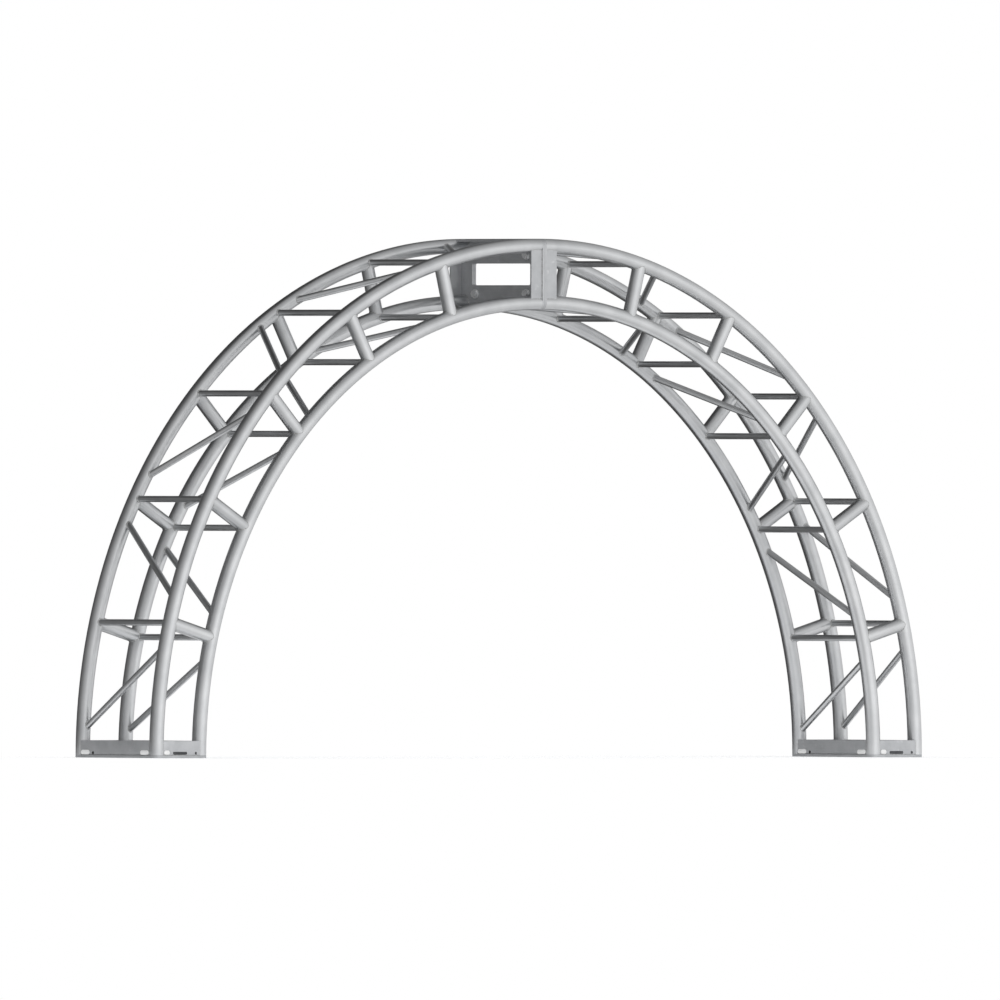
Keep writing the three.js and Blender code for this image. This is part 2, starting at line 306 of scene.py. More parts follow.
def tube_metal():
    metal = bpy.data.materials.new("mill_finish_drawn_aluminium")
    tree = empty_tree(metal)
    grain = add_node(tree, "ShaderNodeAttribute", attribute_name="grain").outputs["Vector"]
    heat = add_node(tree, "ShaderNodeAttribute", attribute_name="heat").outputs["Fac"]
    tone = add_node(tree, "ShaderNodeAttribute", attribute_name="tone").outputs["Fac"]
    wide_lines = add_node(tree, "ShaderNodeMapping", {
        "Vector": grain, "Scale": (1 / wide_line_gap, 1 / wide_line_gap, 1 / wide_line_length)})
    wide_lines = add_node(tree, "ShaderNodeTexNoise", {
        "Vector": wide_lines.outputs[0], "Scale": 1.0, "Detail": 2.0, "Roughness": 0.6})
    fine_lines = add_node(tree, "ShaderNodeMapping", {
        "Vector": grain, "Scale": (1 / fine_line_gap, 1 / fine_line_gap, 1 / fine_line_length)})
    fine_lines = add_node(tree, "ShaderNodeTexNoise", {
        "Vector": fine_lines.outputs[0], "Scale": 1.0, "Detail": 3.0, "Roughness": 0.65})
    patches = add_node(tree, "ShaderNodeTexNoise", {
        "Vector": grain, "Scale": 1 / patch_size, "Detail": 4.0, "Roughness": 0.55})
    scuffs = add_node(tree, "ShaderNodeMapping", {
        "Vector": grain, "Scale": (1 / scuff_width, 1 / scuff_width, 1 / scuff_length)})
    scuffs = add_node(tree, "ShaderNodeTexNoise", {
        "Vector": scuffs.outputs[0], "Scale": 1.0, "Detail": 5.0, "Roughness": 0.7,
        "Distortion": 1.6})
    scuffs = add_node(tree, "ShaderNodeMapRange", {
        "Value": scuffs.outputs[0], "From Min": 0.62, "From Max": 0.72})
    lines = add_node(tree, "ShaderNodeMath", {
        0: wide_lines.outputs[0], 1: wide_line_share, 2: fine_lines.outputs[0]},
        operation="MULTIPLY_ADD")
    shade = add_node(tree, "ShaderNodeMath", {
        0: lines.outputs[0], 1: streak_share, 2: patches.outputs[0]},
        operation="MULTIPLY_ADD")
    shade = add_node(tree, "ShaderNodeMath", {0: shade.outputs[0], 1: tone}, operation="ADD")
    shade = add_node(tree, "ShaderNodeMapRange", {
        "Value": shade.outputs[0], "From Min": 0.45, "From Max": 1.45})
    colour = add_node(tree, "ShaderNodeMix", {
        mix_share: shade.outputs[0], mix_from: srgb(tube_dark), mix_to: srgb(tube_light)},
        data_type="RGBA")
    scuff_amount = add_node(tree, "ShaderNodeMath", {
        0: scuffs.outputs[0], 1: scuff_share}, operation="MULTIPLY")
    colour = add_node(tree, "ShaderNodeMix", {
        mix_share: scuff_amount.outputs[0], mix_from: colour.outputs[mix_colour],
        mix_to: srgb(tube_scuffed)}, data_type="RGBA")
    heat_amount = add_node(tree, "ShaderNodeMath", {
        0: heat, 1: patches.outputs[0]}, operation="MULTIPLY")
    colour = add_node(tree, "ShaderNodeMix", {
        mix_share: heat_amount.outputs[0], mix_from: colour.outputs[mix_colour],
        mix_to: srgb(tube_heated)}, data_type="RGBA")
    gloss = add_node(tree, "ShaderNodeMath", {
        0: lines.outputs[0], 1: line_roughness, 2: tube_roughness}, operation="MULTIPLY_ADD")
    gloss = add_node(tree, "ShaderNodeMath", {
        0: heat_amount.outputs[0], 1: heat_roughness, 2: gloss.outputs[0]},
        operation="MULTIPLY_ADD")
    relief = add_node(tree, "ShaderNodeMath", {
        0: scuffs.outputs[0], 1: scuff_relief, 2: lines.outputs[0]}, operation="MULTIPLY_ADD")
    end_metal(tree, colour.outputs[mix_colour], gloss.outputs[0], relief.outputs[0],
              tube_bump, strength=0.25)
    return metal


tube_aluminium = tube_metal()


# Weld bead, laid by hand in overlapping drops. It is a little brighter and smoother than
# the tube, with a grey rim of soot.
bead_bright = "#C9CACA"
bead_sooty = "#8F8F8D"
soot_size = 6 * mm
bead_roughness = 0.30
soot_roughness = 0.22
bead_bump = 0.4 * mm


def bead_metal():
    metal = bpy.data.materials.new("welded_aluminium_bead")
    tree = empty_tree(metal)
    grain = add_node(tree, "ShaderNodeAttribute", attribute_name="grain").outputs["Vector"]
    soot = add_node(tree, "ShaderNodeTexNoise", {
        "Vector": grain, "Scale": 1 / soot_size, "Detail": 4.0, "Roughness": 0.6})
    soot_amount = add_node(tree, "ShaderNodeMapRange", {
        "Value": soot.outputs[0], "From Min": 0.4, "From Max": 0.7})
    colour = add_node(tree, "ShaderNodeMix", {
        mix_share: soot_amount.outputs[0], mix_from: srgb(bead_bright),
        mix_to: srgb(bead_sooty)}, data_type="RGBA")
    gloss = add_node(tree, "ShaderNodeMath", {
        0: soot_amount.outputs[0], 1: soot_roughness, 2: bead_roughness},
        operation="MULTIPLY_ADD")
    end_metal(tree, colour.outputs[mix_colour], gloss.outputs[0], soot.outputs[0],
              bead_bump, strength=0.3)
    return metal


bead_aluminium = bead_metal()


# Chord tubes, rolled to the arc from 50.8 mm aluminium tube, four to a quarter. Their sizes
# come from the frame. Each runs from end plate to end plate.
full_turn = 2 * math.pi
quarter_turn = full_turn / 4
chord_wall = 3.2 * mm
chord_sides = 48
chord_steps = 72
bays_per_quarter = 6
bay_angle = quarter_turn / bays_per_quarter
plate_gap = 0.3 * mm
heat_reach = 26 * mm
chord_heat_reach = 1.6 * heat_reach
chord_heat_share = 0.35
grain_spread = 50
tone_spread = 0.12
depth_axis = Vector((0.0, 1.0, 0.0))
hands = {"left": -1, "right": 1}
choices = random.Random(11)


def new_shape():
    return {"points": [], "faces": [], "finish": [], "grain": [], "heat": []}


def add_rings(shape, rings, finish, closed, grain, heat):
    """Joins rings of points with faces. Where closed, the last ring joins the first."""
    start = len(shape["points"])
    sides = len(rings[0])
    for i, ring in enumerate(rings):
        for j, point in enumerate(ring):
            shape["points"].append(point)
            shape["grain"].append(grain(i, j))
            shape["heat"].append(heat(i, j))
    for i in range(len(rings) if closed else len(rings) - 1):
        above = (i + 1) % len(rings)
        for j in range(sides):
            beside = (j + 1) % sides
            shape["faces"].append((start + i * sides + j, start + i * sides + beside,
                                   start + above * sides + beside, start + above * sides + j))
            shape["finish"].append(finish)


def make_piece(name, shape, metals, nodes, smooth_angle=35):
    """Makes the object of a shape with its metals, hangs it on the root body and hides the parts
    it stands for.
    """
    mesh = bpy.data.meshes.new(name)
    mesh.from_pydata(shape["points"], [], shape["faces"])
    mesh.polygons.foreach_set("material_index", shape["finish"])
    layer = mesh.attributes.new("grain", "FLOAT_VECTOR", "POINT")
    layer.data.foreach_set("vector", [part for value in shape["grain"] for part in value])
    tone = choices.uniform(-tone_spread, tone_spread)
    for key, values in (("heat", shape["heat"]), ("tone", [tone] * len(shape["points"]))):
        layer = mesh.attributes.new(key, "FLOAT", "POINT")
        layer.data.foreach_set("value", values)
    bm = bmesh.new()
    bm.from_mesh(mesh)
    bmesh.ops.recalc_face_normals(bm, faces=bm.faces)
    bm.to_mesh(mesh)
    bm.free()
    mesh.polygons.foreach_set("use_smooth", [True] * len(mesh.polygons))
    mesh.set_sharp_from_angle(angle=math.radians(smooth_angle))
    for metal in metals:
        mesh.materials.append(metal)
    piece = bpy.data.objects.new(name, mesh)
    scene.collection.objects.link(piece)
    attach(piece, "root")
    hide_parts(*nodes)


def radial_axis(hand, angle):
    """Out from the arc centre. Hand is -1 for the left quarter, and angles run from its foot."""
    return Vector((hand * math.cos(angle), 0.0, math.sin(angle)))


# The four chords as the frame has them, for the left and the right quarter
chords = {}
for quarter, hand in hands.items():
    for face in ("outer", "inner"):
        for side in ("front", "back"):
            low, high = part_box(f"{quarter}_{face}_{side}_chord")
            radius = (high.y - low.y) / 2
            chords[quarter, face, side] = {
                "centre": Vector((low.x if hand > 0 else high.x, 0.0, low.z)),
                "depth": (low.y + high.y) / 2,
                "radius": radius,
                "arc": high.z - low.z - radius,
            }


def chord_place(chord, hand, angle):
    """The middle of a chord's tube at an angle."""
    out = radial_axis(hand, angle) * chord["arc"]
    return chord["centre"] + out + depth_axis * chord["depth"]


def chord_rings(chord, hand, stops, radius):
    """Rings round a chord, square to it. A stop is an angle and a slide along the chord."""
    rings = []
    for angle, slide in stops:
        outward = radial_axis(hand, angle)
        middle = chord_place(chord, hand, angle)
        middle += slide * radial_axis(hand, angle + quarter_turn)
        rings.append([
            middle + radius * (outward * math.cos(turn) + depth_axis * math.sin(turn))
            for turn in (full_turn * j / chord_sides for j in range(chord_sides))
        ])
    return rings


def chord_piece(quarter, face, side):
    chord = chords[quarter, face, side]
    hand = hands[quarter]
    shape = new_shape()
    offset = choices.uniform(0, grain_spread)
    stops = [(quarter_turn * i / chord_steps, 0.0) for i in range(chord_steps + 1)]
    stops = [(0.0, -plate_gap)] + stops + [(quarter_turn, plate_gap)]
    bores = chord_rings(chord, hand, stops, chord["radius"] - chord_wall)
    rounds = chord_rings(chord, hand, stops, chord["radius"]) + bores[::-1]
    places = stops + stops[::-1]

    def grain(i, j):
        turn = full_turn * j / chord_sides
        along = places[i][0] * chord["arc"] + offset
        return (chord["radius"] * math.cos(turn), chord["radius"] * math.sin(turn), along)

    def heat(i, j):
        bays = places[i][0] / bay_angle
        from_ring = abs(bays - round(bays)) * bay_angle * chord["arc"]
        return max(0.0, 1 - from_ring / chord_heat_reach) * chord_heat_share

    add_rings(shape, rounds, 0, True, grain, heat)
    node = f"{quarter}_{face}_{side}_chord"
    make_piece(f"{node}_tube", shape, [tube_aluminium], [node])


for quarter, face, side in chords:
    chord_piece(quarter, face, side)


# Rungs, cut from straight 47.6 mm tube. Each end is coped to the round of a chord and welded
# all round, with the beads as ripples of separate drops.
rung_radius = 23.8 * mm
rung_wall = 3.2 * mm
rung_sides = 48
rings_per_quarter = bays_per_quarter - 1
bead_radius = 3.0 * mm
bead_pitch = 4.0 * mm
bead_sides = 7
bead_steps = 3
bead_swell_shares = (0.94, 1.10, 1.0)
bead_end_share = 0.45
bead_rise = 0.15
bead_sinking = 0.75
bead_slimming = 0.25
bead_finish = 1
tube_heats = (1.0, 0.5, 0.0)
heat_near_share = 0.35
cope_sink = 0.3 * mm
cope_tries = 24
front_pair = "front_rung_outer_brace"
back_pair = "back_rung_inner_brace"


def inside_chord(chord, point, radius):
    from_centre = point - chord["centre"]
    out = math.hypot(from_centre.x, from_centre.z) - chord["arc"]
    return math.hypot(out, from_centre.y - chord["depth"]) < radius


def chord_normal(chord, point):
    from_centre = point - chord["centre"]
    flat = Vector((from_centre.x, 0.0, from_centre.z))
    out = flat.normalized() * (flat.length - chord["arc"])
    return (out + depth_axis * (from_centre.y - chord["depth"])).normalized()


def cope_ring(chord, start, end, radius, sides, facing):
    """Where a straight tube that ends in the middle of a chord meets the chord's surface."""
    along = (end - start).normalized()
    across = along.cross(facing).normalized()
    up = across.cross(along)
    ring = []
    for j in range(sides):
        turn = full_turn * j / sides
        spoke = up * math.cos(turn) + across * math.sin(turn)
        outer = (start + end) / 2 + spoke * radius
        inner = end + spoke * radius
        for _ in range(cope_tries):
            middle = (outer + inner) / 2
            if inside_chord(chord, middle, chord["radius"] - cope_sink):
                inner = middle
            else:
                outer = middle
        ring.append((outer, spoke))
    return ring


def corner(point, one, other):
    """A point of a seam between two surfaces, the way out of the corner, and its flatness."""
    return point, (one + other).normalized(), max(0.0, one.dot(other))


def add_bead(shape, seam, radius, closed):
    """A weld bead of overlapping drops along a seam. It sinks in where the corner is flat."""
    count = len(seam)
    rings = []
    for i, (point, lean, flatness) in enumerate(seam):
        ahead = seam[(i + 1) % count][0] if closed else seam[min(i + 1, count - 1)][0]
        behind = seam[i - 1][0] if closed else seam[max(i - 1, 0)][0]
        along = (ahead - behind).normalized()
        lean = (lean - along * lean.dot(along)).normalized()
        side = along.cross(lean)
        swell = radius * bead_swell_shares[i % bead_steps] * (1 - bead_slimming * flatness)
        if not closed and i in (0, count - 1):
            swell *= bead_end_share
        middle = point + lean * radius * (bead_rise - bead_sinking * flatness)
        rings.append([
            middle + swell * (lean * math.cos(a) + side * math.sin(a))
            for a in (full_turn * j / bead_sides for j in range(bead_sides))
        ])
    first = len(shape["points"])
    add_rings(shape, rings, bead_finish, closed, lambda i, j: tuple(rings[i][j]),
              lambda i, j: 0.0)
    if not closed:
        last = len(shape["points"]) - bead_sides
        shape["faces"].append(tuple(range(first, first + bead_sides)))
        shape["faces"].append(tuple(range(last, last + bead_sides)))
        shape["finish"] += [bead_finish, bead_finish]


def straight_tube(name, start_chord, end_chord, start, end, radius, wall, sides, facing, nodes):
    """A straight tube between two chords, coped at both ends, with a weld bead at each."""
    shape = new_shape()
    offset = choices.uniform(0, grain_spread)
    axis = (end - start).normalized()
    reaches = (heat_near_share * heat_reach, heat_reach)

    def rings_for(tube_radius):
        first = [p for p, _ in cope_ring(start_chord, end, start, tube_radius, sides, facing)]
        first = [first[-j % sides] for j in range(sides)]
        last = [p for p, _ in cope_ring(end_chord, start, end, tube_radius, sides, facing)]
        rings = [first] + [[p + axis * reach for p in first] for reach in reaches]
        return rings + [[p - axis * reach for p in last] for reach in reaches[::-1]] + [last]

    rounds = rings_for(radius) + rings_for(radius - wall)[::-1]
    heats = 2 * (tube_heats + tube_heats[::-1])

    def grain(i, j):
        turn = full_turn * j / sides
        along = (rounds[i][j] - start).dot(axis) + offset
        return (radius * math.cos(turn), radius * math.sin(turn), along)

    add_rings(shape, rounds, 0, True, grain, lambda i, j: heats[i])
    drops = round(full_turn * radius / bead_pitch)
    for chord, near, far in ((start_chord, start, end), (end_chord, end, start)):
        ring = cope_ring(chord, far, near, radius, drops * bead_steps, facing)
        seam = [corner(point, spoke, chord_normal(chord, point)) for point, spoke in ring]
        add_bead(shape, seam, bead_radius, True)
    make_piece(name, shape, [tube_aluminium, bead_aluminium], nodes)


for quarter, hand in hands.items():
    for ring in range(1, rings_per_quarter + 1):
        angle = ring * bay_angle
        for side, pair in (("front", front_pair), ("back", back_pair)):
            inner = chords[quarter, "inner", side]
            outer = chords[quarter, "outer", side]
            straight_tube(
                f"{quarter}_ring_{ring}_{side}_rung", inner, outer,
                chord_place(inner, hand, angle), chord_place(outer, hand, angle),
                rung_radius, rung_wall, rung_sides, depth_axis,
                [f"{quarter}_ring_{ring}_{pair}"],
            )


# Cross braces, straight 22 mm tube through the depth at each ring, one on the outer face
# and one on the inner face, coped and welded like the rungs.
brace_radius = 11.1 * mm
brace_wall = 3.2 * mm
brace_sides = 36
for quarter, hand in hands.items():
    for ring in range(1, rings_per_quarter + 1):
        angle = ring * bay_angle
        for face, pair in (("outer", front_pair), ("inner", back_pair)):
            front = chords[quarter, face, "front"]
            back = chords[quarter, face, "back"]
            straight_tube(
                f"{quarter}_ring_{ring}_{face}_cross_brace", front, back,
                chord_place(front, hand, angle), chord_place(back, hand, angle),
                brace_radius, brace_wall, brace_sides, radial_axis(hand, angle),
                [f"{quarter}_ring_{ring}_{pair}"],
            )


# Diagonals, the same thin tube, one in each bay of the outer and the inner face. Their ends
# stand off the rings by nearly a fifth of a bay, and they lean the other way in each bay.
diagonal_setback_share = 0.18
for quarter, hand in hands.items():
    for bay in range(bays_per_quarter):
        low_end = (bay + diagonal_setback_share) * bay_angle
        high_end = (bay + 1 - diagonal_setback_share) * bay_angle
        rises_to_front = bay % 2 == 0
        front_end, back_end = (high_end, low_end) if rises_to_front else (low_end, high_end)
        for face in ("outer", "inner"):
            front = chords[quarter, face, "front"]
            back = chords[quarter, face, "back"]
            node = f"{quarter}_{face}_diagonal_{bay + 1}"
            straight_tube(
                f"{node}_tube", front, back,
                chord_place(front, hand, front_end), chord_place(back, hand, back_end),
                brace_radius, brace_wall, brace_sides,
                radial_axis(hand, (low_end + high_end) / 2), [node],
            )


# Flat aluminium of the end frames, sawn and drilled from mill finish plate. The rolling
# lines run along each piece, and handling has left scratches across them.
plate_dark = "#AFB1B3"
plate_light = "#CBCCCE"
plate_scratched = "#E0E1E2"
rolling_line_gap = 1.2 * mm
rolling_line_length = 160 * mm
plate_patch_size = 60 * mm
scratch_turn = math.radians(38)
scratch_sizes = (30 * mm, 1.5 * mm, 25 * mm)
rolling_share = 0.5
scratch_share = 0.35
scratch_relief = -0.5
plate_roughness = 0.54
rolling_roughness = 0.12
plate_bump = 0.2 * mm


def plate_metal():
    metal = bpy.data.materials.new("mill_finish_rolled_aluminium_plate")
    tree = empty_tree(metal)
    grain = add_node(tree, "ShaderNodeAttribute", attribute_name="grain").outputs["Vector"]
    tone = add_node(tree, "ShaderNodeAttribute", attribute_name="tone").outputs["Fac"]
    rolling = add_node(tree, "ShaderNodeMapping", {
        "Vector": grain,
        "Scale": (1 / rolling_line_gap, 1 / rolling_line_gap, 1 / rolling_line_length)})
    rolling = add_node(tree, "ShaderNodeTexNoise", {
        "Vector": rolling.outputs[0], "Scale": 1.0, "Detail": 3.0, "Roughness": 0.6})
    patches = add_node(tree, "ShaderNodeTexNoise", {
        "Vector": grain, "Scale": 1 / plate_patch_size, "Detail": 4.0, "Roughness": 0.55})
    scratches = add_node(tree, "ShaderNodeMapping", {
        "Vector": grain, "Rotation": (scratch_turn, 0.0, 0.0),
        "Scale": tuple(1 / size for size in scratch_sizes)})
    scratches = add_node(tree, "ShaderNodeTexNoise", {
        "Vector": scratches.outputs[0], "Scale": 1.0, "Detail": 2.0, "Distortion": 0.8})
    scratches = add_node(tree, "ShaderNodeMapRange", {
        "Value": scratches.outputs[0], "From Min": 0.66, "From Max": 0.74})
    shade = add_node(tree, "ShaderNodeMath", {
        0: rolling.outputs[0], 1: rolling_share, 2: patches.outputs[0]},
        operation="MULTIPLY_ADD")
    shade = add_node(tree, "ShaderNodeMath", {0: shade.outputs[0], 1: tone}, operation="ADD")
    shade = add_node(tree, "ShaderNodeMapRange", {
        "Value": shade.outputs[0], "From Min": 0.45, "From Max": 1.15})
    colour = add_node(tree, "ShaderNodeMix", {
        mix_share: shade.outputs[0], mix_from: srgb(plate_dark), mix_to: srgb(plate_light)},
        data_type="RGBA")
    scratch_amount = add_node(tree, "ShaderNodeMath", {
        0: scratches.outputs[0], 1: scratch_share}, operation="MULTIPLY")
    colour = add_node(tree, "ShaderNodeMix", {
        mix_share: scratch_amount.outputs[0], mix_from: colour.outputs[mix_colour],
        mix_to: srgb(plate_scratched)}, data_type="RGBA")
    gloss = add_node(tree, "ShaderNodeMath", {
        0: rolling.outputs[0], 1: rolling_roughness, 2: plate_roughness},
        operation="MULTIPLY_ADD")
    relief = add_node(tree, "ShaderNodeMath", {
        0: scratches.outputs[0], 1: scratch_relief, 2: rolling.outputs[0]},
        operation="MULTIPLY_ADD")
    end_metal(tree, colour.outputs[mix_colour], gloss.outputs[0], relief.outputs[0],
              plate_bump, strength=0.25)
    return metal


plate_aluminium = plate_metal()


# End plates, four in all, cut from 9.5 mm plate. Each has round corners, a window for cables
# and four bolt holes, and is welded to the ends of its chords.
plate_thickness = 9.525 * mm
plate_edge = 0.6 * mm
window_depth = 304.8 * mm
window_radial = 76.2 * mm
window_corner = 6.0 * mm
bolt_hole_radius = 8.75 * mm
bolt_spacing_depth = 268.0 * mm
bolt_spacing_radial = 137.0 * mm
corner_points = 10
hole_points = 32
same_point = 0.01 * mm
seat_bead_half_angle = math.radians(80)
seat_bead_radius = 2.5 * mm


def rounded_loop(length, width, radius, middle=(0.0, 0.0)):
    """The outline of a rectangle with round corners, which may meet in half circles."""
    loop = []
    for i, (sx, sy) in enumerate(((1, 1), (-1, 1), (-1, -1), (1, -1))):
        x = middle[0] + sx * (length / 2 - radius)
        y = middle[1] + sy * (width / 2 - radius)
        for j in range(corner_points + 1):
            turn = quarter_turn * (i + j / corner_points)
            loop.append((x + radius * math.cos(turn), y + radius * math.sin(turn)))
    return [point for i, point in enumerate(loop)
            if math.dist(point, loop[i - 1]) > same_point]


def round_hole(radius, middle):
    turns = [full_turn * j / hole_points for j in range(hole_points)]
    return [(middle[0] + radius * math.cos(turn), middle[1] + radius * math.sin(turn))
            for turn in turns]


def add_sheet(shape, levels, place, grain, finish=0, hole_finish=0):
    """A flat part from loops at a row of levels: the outline first, then its holes."""
    start = len(shape["points"])
    counts = [len(loop) for loop in levels[0][1]]
    for height, loops in levels:
        for loop in loops:
            for a, b in loop:
                shape["points"].append(place(a, b, height))
                shape["grain"].append(grain(a, b, height))
                shape["heat"].append(0.0)
    total = sum(counts)
    for level in range(len(levels) - 1):
        base = start + level * total
        for i, count in enumerate(counts):
            for j in range(count):
                beside = (j + 1) % count
                shape["faces"].append((base + j, base + beside,
                                       base + total + beside, base + total + j))
                shape["finish"].append(hole_finish if i else finish)
            base += count
    for level in (0, len(levels) - 1):
        loops = [[Vector((a, b, 0.0)) for a, b in loop] for loop in levels[level][1]]
        base = start + level * total
        for triangle in geometry.tessellate_polygon(loops):
            shape["faces"].append(tuple(base + index for index in triangle))
            shape["finish"].append(finish)


class Seat:
    """Where one end frame sits: its axes and the arcs of the chords that it closes."""

    def __init__(self, quarter, end):
        self.hand = hands[quarter]
        self.outer = chords[quarter, "outer", "front"]
        self.inner = chords[quarter, "inner", "front"]
        self.radial_half = (self.outer["arc"] - self.inner["arc"]) / 2
        self.depth_half = abs(self.outer["depth"])
        middle = (self.outer["arc"] + self.inner["arc"]) / 2
        angle = 0.0 if end == "foot" else quarter_turn
        self.radial = radial_axis(self.hand, angle)
        self.up = radial_axis(self.hand, angle + quarter_turn) * (1 if end == "foot" else -1)
        self.origin = self.outer["centre"] + self.radial * middle

    def place(self, radial, depth, height):
        return self.origin + self.radial * radial + depth_axis * depth + self.up * height


def plate_piece(quarter, end):
    seat = Seat(quarter, end)
    shape = new_shape()
    radius = seat.outer["radius"]

    def loops(inset):
        found = [
            rounded_loop(2 * (seat.radial_half + radius - inset),
                         2 * (seat.depth_half + radius - inset), radius - inset),
            rounded_loop(window_radial + 2 * inset, window_depth + 2 * inset,
                         window_corner + inset),
        ]
        for a in (-1, 1):
            for b in (-1, 1):
                middle = (a * bolt_spacing_radial / 2, b * bolt_spacing_depth / 2)
                found.append(round_hole(bolt_hole_radius + inset, middle))
        return found

    low = -plate_gap - plate_thickness
    levels = [(low, loops(plate_edge)), (low + plate_edge, loops(0.0)),
              (-plate_gap - plate_edge, loops(0.0)), (-plate_gap, loops(plate_edge))]
    offset = choices.uniform(0, grain_spread)
    add_sheet(shape, levels, seat.place, lambda a, b, h: (a, h, b + offset))
    for a in (-1, 1):
        for b in (-1, 1):
            inwards = math.atan2(-b, -a)
            count = round(2 * seat_bead_half_angle * radius / bead_pitch) * bead_steps
            middle = seat.place(a * seat.radial_half, b * seat.depth_half, 0.0)
            seam = []
            for j in range(count + 1):
                turn = inwards + seat_bead_half_angle * (2 * j / count - 1)
                spoke = seat.radial * math.cos(turn) + depth_axis * math.sin(turn)
                seam.append(corner(middle + spoke * radius, spoke, seat.up))
            add_bead(shape, seam, seat_bead_radius, False)
    make_piece(f"{quarter}_{end}_end_plate", shape, [plate_aluminium, bead_aluminium],
               [f"{quarter}_{end}_frame"])


for quarter in hands:
    for end in ("foot", "crown"):
        plate_piece(quarter, end)


# Black moulded rubber of the blanking grommets, dull and faintly lumpy. They close the holes
# of the face legs at the feet, pressed in just behind the outer face. Their black is painted
# shade: it stands in for the shade inside the holes.
rubber_hole_shade_dark = "#1B1A19"
rubber_hole_shade_light = "#33312F"
rubber_lump_size = 2 * mm
rubber_roughness = 0.75
rubber_finish = 2
grommet_depth = 1.2 * mm
grommet_thickness = 1.5 * mm
grommet_sink = 0.3 * mm


def rubber_hole_shade():
    rubber = bpy.data.materials.new("painted_hole_shade_grommet_rubber")
    tree = empty_tree(rubber)
    grain = add_node(tree, "ShaderNodeAttribute", attribute_name="grain").outputs["Vector"]
    lumps = add_node(tree, "ShaderNodeTexNoise", {
        "Vector": grain, "Scale": 1 / rubber_lump_size, "Detail": 3.0, "Roughness": 0.6})
    # The black of the grommets is painted shade for the inside of the holes.
    colour = add_node(tree, "ShaderNodeMix", {
        mix_share: lumps.outputs[0], mix_from: srgb(rubber_hole_shade_dark), mix_to: srgb(rubber_hole_shade_light)},
        data_type="RGBA")
    shader = add_node(tree, "ShaderNodeBsdfPrincipled", {
        "Base Color": colour.outputs[mix_colour], "Metallic": 0.0,
        "Roughness": rubber_roughness})
    add_node(tree, "ShaderNodeOutputMaterial", {"Surface": shader.outputs[0]})
    return rubber


painted_shade_rubber = rubber_hole_shade()


# Legs of the end frames, cut from 6.4 mm plate. Four stand on each end plate between the
# chords, 4 mm inside the rounds of the tubes, and are welded to tubes and plate outside.
leg_height = 50.8 * mm
leg_thickness = 6.35 * mm
leg_inset = 4.0 * mm
leg_edge = 0.5 * mm
leg_sink = 0.3 * mm
leg_steps = 4
leg_bead_radius = 3.2 * mm
leg_root_bead_radius = 1.4 * mm
leg_feature_height = 7.5 * mm
leg_hole_radius = 5.0 * mm
face_hole_setback = 78.0 * mm
side_hole_setback = 33.5 * mm
side_slot_setback = 107.5 * mm
side_slot_length = 66.0 * mm
side_slot_height = 10.0 * mm


def leg_reach(seat, is_face):
    """Half the way between the chords that a leg joins, and how far out its outer face lies."""
    half, across = seat.radial_half, seat.depth_half
    if is_face:
        half, across = across, half
    return half, across + seat.outer["radius"] - leg_inset


